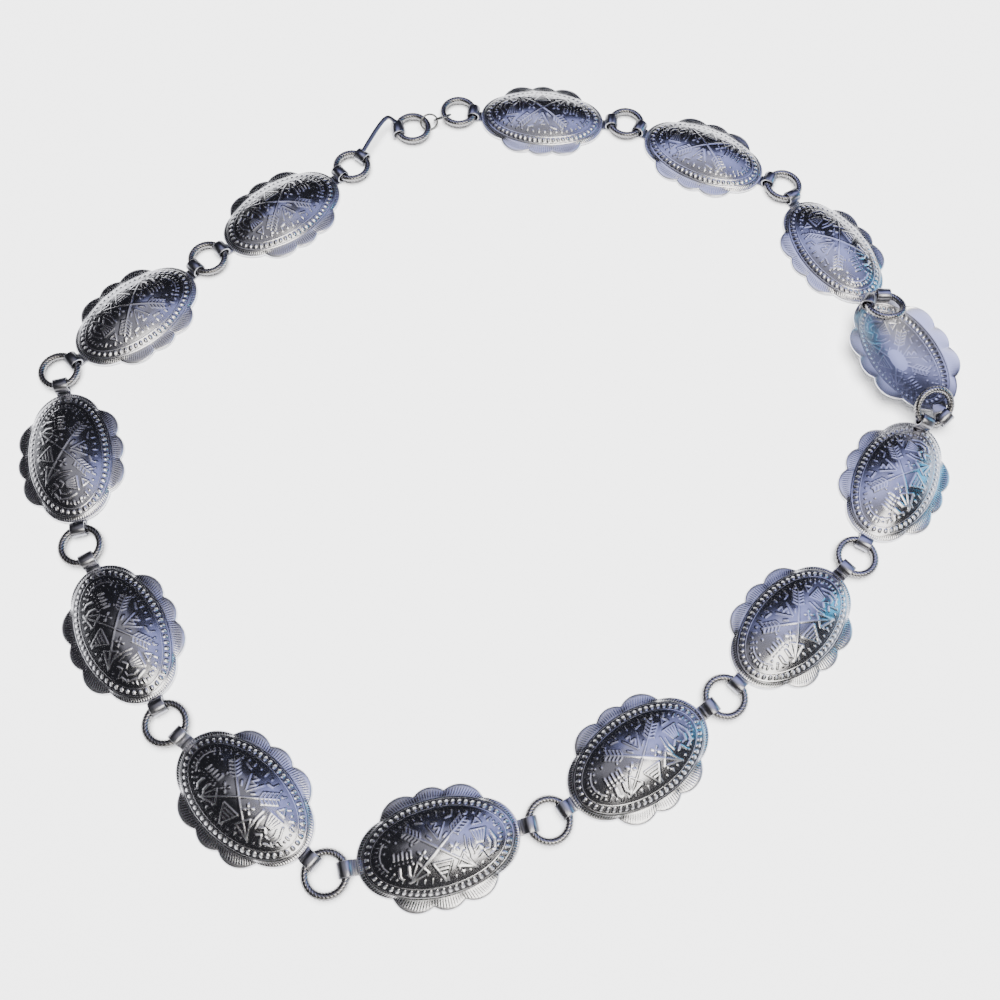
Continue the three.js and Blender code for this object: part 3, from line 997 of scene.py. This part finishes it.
@dataclass
class StripTab:
    """A strip folded round a ring's wire, with its root soldered behind a concho's rim."""

    width: float = 4.8
    root: float = 2.2
    tip_to_ring: float = 9.2
    solder: float = 0.05
    turn_steps: int = 40
    wrap_start: float = 270.0
    wrap_end: float = -46.0
    wrap_gap: float = 0.3
    root_points: int = 5
    bend_steps: int = 8
    bend_pull: float = 0.8

    @property
    def wall(self) -> float:
        """From the middle of the wire to the middle of the strip."""
        return BORE + SHEET / 2

    def bow(self, width: float) -> float:
        """How far the wire bows inwards under the edges of a strip."""
        return RING_RADIUS - math.sqrt(RING_RADIUS**2 - (width / 2) ** 2)

    def loop_places(self, width: float, start: float, end: float) -> list[Matrix]:
        """Frames round the wire, clockwise seen along +Y.

        Args:
            width: width of the strip.
            start: first angle round the wire, in degrees from +X towards +Z.
            end: last angle.

        Returns:
            The frames, with Y along the wire.
        """
        bow = self.bow(width)
        count = round(abs(end - start) / 360 * self.turn_steps)
        places = []
        for turn in np.radians(np.linspace(start, end, count + 1)):
            middle_x = -bow if math.cos(turn) < 0 else 0.0
            through = Vector((math.cos(turn), 0.0, math.sin(turn)))
            across = Vector((0.0, 1.0, 0.0))
            along = across.cross(through)
            point = Vector((middle_x, 0, 0)) + self.wall * through
            turned = Matrix((along, across, through)).transposed().to_4x4()
            places.append(Matrix.Translation(point) @ turned)
        return places

    def eye(self) -> bmesh.types.BMesh:
        """Builds a closed loop round the wire, in the frame on it."""
        places = self.loop_places(self.width, 0, 360 - 360 / self.turn_steps)
        return strip(places, [self.width] * len(places), closed=True)

    def flat(self) -> bmesh.types.BMesh:
        """Builds a tab on a flat ring, in the frame on its wire.

        Returns:
            The tab's bmesh.
        """
        reach = self.tip_to_ring - RING_RADIUS + self.root
        back = Matrix.Rotation(math.pi, 4, "Y")
        lengths = np.linspace(reach, self.wrap_gap, self.root_points)
        places = [shift(x, 0, -self.wall) @ back for x in lengths]
        places += self.loop_places(self.width, self.wrap_start, self.wrap_end)
        return strip(places, [self.width] * len(places))

    def leaning(self, concho: ConchoPlace, ring: RingPlace, heading: float,
                shell: Concho) -> bmesh.types.BMesh:
        """Builds a tab on a leaning ring, with a strip that reaches the nearest end of a concho.

        Args:
            concho: the concho that it belongs to.
            ring: the leaning ring.
            heading: where on the ring the loop is.
            shell: the concho's sizes.

        Returns:
            The tab's bmesh in the belt's frame.
        """
        on_wire = ring.on_wire(heading)
        loop = moved(self.eye(), on_wire)
        wire = on_wire.translation
        from_middle = Vector((wire.x - concho.middle.x, wire.y - concho.middle.y, 0))
        side = 1 if polar(1, concho.heading).dot(from_middle) > 0 else -1
        to_lobe = polar(side * (shell.half_length - shell.tip_radius), concho.heading) - from_middle
        reach = to_lobe.length - shell.tip_radius + self.root
        level = shell.top - SHEET / 2 if concho.turned else SHEET / 2
        if concho.turned and reach < self.wall:
            top = on_wire @ shift(self.wall, 0, 0) @ Matrix.Rotation(math.pi / 2, 4, "Y")
            height = wire.z - (shell.top - shell.rim_height) + self.solder
            standing = [top @ shift(share * height, 0, 0) for share in (0.0, 0.5, 1.0)]
            return join([loop, strip(standing, [self.width] * 3)])
        root = shift(wire.x, wire.y, level) @ turn_z(heading_of(to_lobe)) @ shift(reach, 0, 0)
        if concho.turned:
            start = on_wire @ turn_z(180) @ shift(self.wall + self.bow(self.width), 0, 0)
        else:
            start = on_wire @ shift(self.wall, 0, 0)
        places = bent_places(start, root, self.bend_steps, self.bend_pull)
        return join([loop, strip(places, [self.width] * len(places))])


@dataclass
class Hook:
    """The strip hook: an eye on the left end ring, a narrow neck and a grip on the clasp ring."""

    eye_heading: float = 52.0
    grip_heading: float = 190.0
    grip_width: float = 6.0
    grip_taper: float = 0.45
    neck_width: float = 1.8
    opening: float = -50.0
    rise_steps: int = 10
    rise_pull: float = 2.6
    fall_steps: int = 8
    fall_pull: float = 1.6
    bend: Vector = field(default_factory=lambda: Vector((-48.0, 295.6, 5.4)))

    def build(self, left_end: RingPlace, clasp: RingPlace, tab: StripTab,
              origin: Vector) -> bmesh.types.BMesh:
        """Builds the hook in the belt's frame.

        Args:
            left_end: the ring that carries the eye.
            clasp: the ring that the grip holds.
            tab: sizes of the strip loops.
            origin: shift from the layout's origin to the belt's.

        Returns:
            The hook's bmesh.
        """
        eye_frame = left_end.on_wire(self.eye_heading)
        grip_frame = clasp.on_wire(self.grip_heading)
        grip_loop = tab.loop_places(self.grip_width, self.opening, 180 - self.opening)
        shares = np.linspace(0, 1, len(grip_loop))
        widths = self.grip_width * (1 - self.grip_taper * shares**3)
        grip = moved(strip(grip_loop, widths), grip_frame)
        eye_top = eye_frame @ shift(0, 0, tab.wall)
        offset = (self.grip_width - self.neck_width) / 2
        grip_top = grip_frame @ turn_z(180) @ shift(0, offset, tab.wall)
        bend = self.bend + origin
        heading_in = heading_of(bend - eye_top.translation)
        heading_out = heading_of(grip_top.translation - bend)
        middle = Matrix.Translation(bend) @ turn_z((heading_in + heading_out) / 2)
        rise = Matrix.Translation(eye_top.translation) @ turn_z(heading_in)
        fall = Matrix.Translation(grip_top.translation) @ turn_z(heading_out)
        places = bent_places(rise, middle, self.rise_steps, self.rise_pull)
        places += bent_places(middle, fall, self.fall_steps, self.fall_pull)[1:]
        neck = strip(places, [self.neck_width] * len(places))
        return join([moved(tab.eye(), eye_frame), neck, grip])


@dataclass
class ClaspLink:
    """A small oval link of thin wire, between the clasp ring and the right end ring."""

    wire: float = 0.4
    half_width: float = 2.85
    play: float = 0.85
    lift: float = 0.05
    roll: float = 45.0
    clearance: float = 0.4
    around: int = 48
    across: int = 10

    def build(self, half_length: float, roll: float) -> bmesh.types.BMesh:
        """Builds a link about the origin, along X.

        Args:
            half_length: from its middle to the middle of its wire.
            roll: turn about its own length, in degrees.

        Returns:
            The link's bmesh.
        """
        lean = Matrix.Rotation(math.radians(roll), 4, "X")
        sections = []
        for step in range(self.around):
            turn = 2 * math.pi * step / self.around
            out = Vector((math.cos(turn), math.sin(turn), 0))
            middle = Vector((half_length * out.x, self.half_width * out.y, 0))
            section = []
            for part in range(self.across):
                angle = 2 * math.pi * part / self.across
                upward = Vector((0, 0, math.sin(angle)))
                section.append(lean @ (middle + self.wire * (math.cos(angle) * out + upward)))
            sections.append(section)
        return sweep(sections, True)


# Belt

@dataclass(frozen=True)
class LeaningRing:
    """A ring that leans on the turned concho, and the tabs that it holds, in the layout.

    The tabs are at headings on the ring: the neighbour's and the turned concho's.
    """

    name: str
    middle: tuple[float, float, float]
    tilt: float
    low: float
    neighbour: float
    turned: float


@dataclass
class Belt:
    """The whole belt, laid out between its rings."""

    shell: Concho = field(default_factory=Concho)
    tab: StripTab = field(default_factory=StripTab)
    rope: RopeRing = field(default_factory=RopeRing)
    layout_right_end: tuple[float, float, float] = (-19.5, 302.6, RING_HEIGHT)
    before: LeaningRing = LeaningRing("ring_03_04", (139.8, 208.6, 11.1), 17.0, 98.0, 86.0, 157.0)
    after: LeaningRing = LeaningRing("ring_04_05", (152.8, 168.6, 8.4), 40.0, -80.0, -113.0, -40.0)
    third_heading: float = -60.6
    turned_middle: tuple[float, float, float] = (146.2, 191.8, 0.0)
    turned_heading: float = -65.5
    fifth_heading: float = -121.0

    def __post_init__(self) -> None:
        """Finds the rings' places and the shift from the layout's origin to the belt's."""
        self.origin = node_middle("right_end_ring") - Vector(self.layout_right_end)
        self.origin.z = 0.0
        flat = ["right_end_ring", "clasp_ring", "left_end_ring", "ring_01_02", "ring_02_03"]
        flat += [f"ring_{i:02d}_{i + 1:02d}" for i in range(5, 13)]
        self.rings = {name: self.flat_ring(name) for name in flat}
        for ring in (self.before, self.after):
            middle = Vector(ring.middle) + self.origin
            self.rings[ring.name] = RingPlace(ring.name, middle, ring.tilt, ring.low)

    def flat_ring(self, name: str) -> RingPlace:
        """Returns the place of a ring that lies flat."""
        middle = node_middle(name)
        return RingPlace(name, Vector((middle.x, middle.y, RING_HEIGHT)))

    def add_rings(self) -> None:
        """Builds all the rings."""
        pattern = self.rope.mesh()
        for name, place in self.rings.items():
            mesh = pattern.copy()
            mesh.transform(METRES @ place.frame)
            put_in_scene(f"{name}_rope", mesh, RING_FINISH, name)
        bpy.data.meshes.remove(pattern)

    def between(self, number: int, first: str, last: str) -> Laid:
        """Lays a concho between two flat rings.

        Args:
            number: the concho's number.
            first: the ring before it.
            last: the ring after it.

        Returns:
            Its place, and the rings of its tabs with the tabs' headings on them.
        """
        start, end = self.rings[first].middle, self.rings[last].middle
        heading = heading_of(end - start)
        place = ConchoPlace(f"concho_{number:02d}", (start + end) / 2, heading)
        return place, [(first, heading), (last, heading + 180)]

    def turned_stretch(self) -> list[Laid]:
        """Lays the turned concho and its two neighbours.

        Returns:
            What between returns, for each of the three.
        """
        before, after, heading = self.before, self.after, self.third_heading
        middle = self.rings["ring_02_03"].middle + polar(PITCH / 2, heading)
        third = ConchoPlace("concho_03", middle, heading)
        found = [(third, [("ring_02_03", heading), (before.name, before.neighbour)])]
        middle = Vector(self.turned_middle) + self.origin
        turned = ConchoPlace("concho_04", middle, self.turned_heading, True)
        found.append((turned, [(before.name, before.turned), (after.name, after.turned)]))
        heading = self.fifth_heading
        middle = self.rings["ring_05_06"].middle - polar(PITCH / 2, heading)
        fifth = ConchoPlace("concho_05", middle, heading)
        found.append((fifth, [(after.name, after.neighbour), ("ring_05_06", heading + 180)]))
        return found

    def places(self) -> list[Laid]:
        """Returns what between returns, for each of the thirteen conchos."""
        start = ["right_end_ring", "ring_01_02", "ring_02_03"]
        end = [f"ring_{i:02d}_{i + 1:02d}" for i in range(5, 13)] + ["left_end_ring"]
        found = [self.between(1 + i, start[i], start[i + 1]) for i in range(len(start) - 1)]
        found += self.turned_stretch()
        return found + [self.between(6 + i, end[i], end[i + 1]) for i in range(len(end) - 1)]

    def add_conchos(self) -> None:
        """Builds the conchos and their tabs."""
        pattern = StampedPattern()
        pattern.draw()
        front = self.shell.mesh(Side.FRONT, pattern)
        back = self.shell.mesh(Side.BACK, pattern)
        for place, holds in self.places():
            mesh = (back if place.turned else front).copy()
            mesh.transform(METRES @ place.frame(self.shell.top))
            finish = BACK_FINISH if place.turned else CONCHO_FINISH
            put_in_scene(f"{place.name}_medallion", mesh, finish, place.name)
            tabs = []
            for ring_name, heading in holds:
                ring = self.rings[ring_name]
                if ring.tilt:
                    tabs.append(self.tab.leaning(place, ring, heading, self.shell))
                else:
                    tabs.append(moved(self.tab.flat(), ring.on_wire(heading)))
            piece_from(f"{place.name}_tabs", join(tabs), STRIP_FINISH, None)
        bpy.data.meshes.remove(front)
        bpy.data.meshes.remove(back)

    def add_clasp(self) -> None:
        """Builds the hook and the two links."""
        left_end, clasp = self.rings["left_end_ring"], self.rings["clasp_ring"]
        hook = Hook().build(left_end, clasp, self.tab, self.origin)
        piece_from("hook_strip", hook, STRIP_FINISH, "hook")
        link = ClaspLink()
        start, end = clasp.middle, self.rings["right_end_ring"].middle
        span = end - start
        hold = RING_WIRE + link.play
        inner = (span.length - 2 * RING_RADIUS + 2 * hold + link.clearance) / 4
        reach = polar(RING_RADIUS + inner - hold, heading_of(span))
        links = (("clasp_link_a", start + reach, link.roll),
                 ("clasp_link_b", end - reach, -link.roll))
        for name, middle, roll in links:
            place = shift(middle.x, middle.y, RING_HEIGHT + link.lift) @ turn_z(heading_of(span))
            piece_from(f"{name}_wire", link.build(inner + link.wire, roll), LINK_FINISH, name, place)


# Studio

@dataclass(frozen=True)
class Panel:
    """A soft light panel. Lengths in metres, power in watts, spread in degrees.

    A mirrored panel is only seen in the metal; the others only light the floor.
    """

    name: str
    place: tuple[float, float, float]
    size: tuple[float, float]
    power: float
    colour: tuple[float, float, float]
    aim: tuple[float, float, float] = (0.0, 0.0, 0.0)
    spread: float = 180.0
    mirrored: bool = True


LILAC = (0.48, 0.52, 1.0)
WHITE = (1.0, 1.0, 1.0)


@dataclass
class Studio:
    """The floor, the lights and the camera."""

    world: tuple[float, float, float] = (0.03, 0.03, 0.036)
    floor_half: float = 3.0
    floor_shade: float = 0.96
    floor_roughness: float = 0.9
    panels: tuple[Panel, ...] = (
        Panel("lilac", (0.42, 0.16, 0.42), (0.5, 0.9), 0.5, LILAC, (0.26, -0.035, 0.005), 66.0),
        Panel("lilac_left", (0.075, 0.18, 0.48), (0.28, 0.6), 0.15, LILAC, (0.264, 0.018, 0.0), 60.0),
        Panel("warm", (0.38, -0.54, 1.06), (0.65, 0.55), 10.0, (1.0, 0.96, 0.86)),
        Panel("cyan", (1.13, 0.24, 0.47), (0.3, 0.25), 1.1, (0.08, 0.6, 1.0)),
        Panel("top", (-0.13, 0.13, 1.29), (1.0, 1.0), 1.8, (0.95, 0.93, 1.0)),
        Panel("low_front", (0.0, -1.48, 0.23), (1.7, 0.3), 4.5, (1.0, 0.96, 0.9)),
        Panel("low_left", (-1.49, 0.0, 0.18), (1.7, 0.2), 1.2, WHITE),
        Panel("low_right", (1.48, 0.0, 0.23), (1.7, 0.3), 4.5, (0.8, 0.87, 1.0)),
        Panel("floor_light", (0.0, 0.1, 2.5), (2.5, 2.5), 380.0, WHITE, (0.0, 0.1, 0.0),
              mirrored=False),
    )
    # The camera's place in the layout, in millimetres, its turns in degrees, and its focal
    # length and picture width in pixels
    place: tuple[float, float, float] = (-8.3, 0.8, 320.6)
    yaw: float = -3.28
    pitch: float = 67.59
    roll: float = -4.22
    focal: float = 1003.0
    frame_pixels: float = 1000.0
    sensor: float = 36.0
    near_clip: float = 0.01

    def add_floor(self) -> None:
        """Builds the plain pale floor."""
        shape = bmesh.new()
        bmesh.ops.create_grid(shape, x_segments=1, y_segments=1, size=self.floor_half)
        mesh = bpy.data.meshes.new("floor")
        shape.to_mesh(mesh)
        shape.free()
        floor = bpy.data.objects.new("floor", mesh)
        bpy.context.scene.collection.objects.link(floor)
        material = bpy.data.materials.new("pale_floor")
        material.use_nodes = True
        shader = material.node_tree.nodes["Principled BSDF"]
        shader.inputs["Base Color"].default_value = (*[self.floor_shade] * 3, 1.0)
        shader.inputs["Roughness"].default_value = self.floor_roughness
        mesh.materials.append(material)

    def add_lights(self) -> None:
        """Builds the light panels and the dim room."""
        world = bpy.data.worlds.new("room")
        world.use_nodes = True
        world.node_tree.nodes["Background"].inputs["Color"].default_value = (*self.world, 1.0)
        bpy.context.scene.world = world
        for panel in self.panels:
            light = bpy.data.lights.new(panel.name, "AREA")
            light.shape = "RECTANGLE"
            light.size, light.size_y = panel.size
            light.energy = panel.power
            light.color = panel.colour
            lamp = bpy.data.objects.new(panel.name, light)
            lamp.location = panel.place
            way = Vector(panel.aim) - Vector(panel.place)
            lamp.rotation_euler = way.to_track_quat("-Z", "Y").to_euler()
            light.spread = math.radians(panel.spread)
            lamp.visible_glossy = panel.mirrored
            lamp.visible_diffuse = not panel.mirrored
            bpy.context.scene.collection.objects.link(lamp)

    def add_camera(self, origin: Vector) -> None:
        """Builds the camera at the photograph's angle.

        Args:
            origin: shift from the layout's origin to the belt's, in millimetres.
        """
        pitch, roll = math.radians(self.pitch), math.radians(self.roll)
        forward = Vector((0.0, math.cos(pitch), -math.sin(pitch)))
        right = Vector((1.0, 0.0, 0.0))
        down = Vector((0.0, -math.sin(pitch), -math.cos(pitch)))
        across = math.cos(roll) * right + math.sin(roll) * down
        below = -math.sin(roll) * right + math.cos(roll) * down
        data = bpy.data.cameras.new("camera")
        data.sensor_fit = "HORIZONTAL"
        data.sensor_width = self.sensor
        data.lens = self.focal / self.frame_pixels * self.sensor
        data.clip_start = self.near_clip
        camera = bpy.data.objects.new("camera", data)
        turn = Matrix((across, -below, -forward)).transposed().to_4x4()
        place = Matrix.Translation((origin + Vector(self.place)) * MILLIMETRE)
        camera.matrix_world = place @ turn_z(self.yaw) @ turn
        bpy.context.scene.collection.objects.link(camera)
        bpy.context.scene.camera = camera


def main() -> None:
    """Builds the belt and its studio."""
    logging.basicConfig(level=logging.INFO, format="%(message)s")
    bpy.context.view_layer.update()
    studio = Studio()
    belt = Belt()
    studio.add_camera(belt.origin)
    studio.add_floor()
    studio.add_lights()
    belt.add_rings()
    belt.add_conchos()
    belt.add_clasp()


if __name__ == "__main__":
    main()
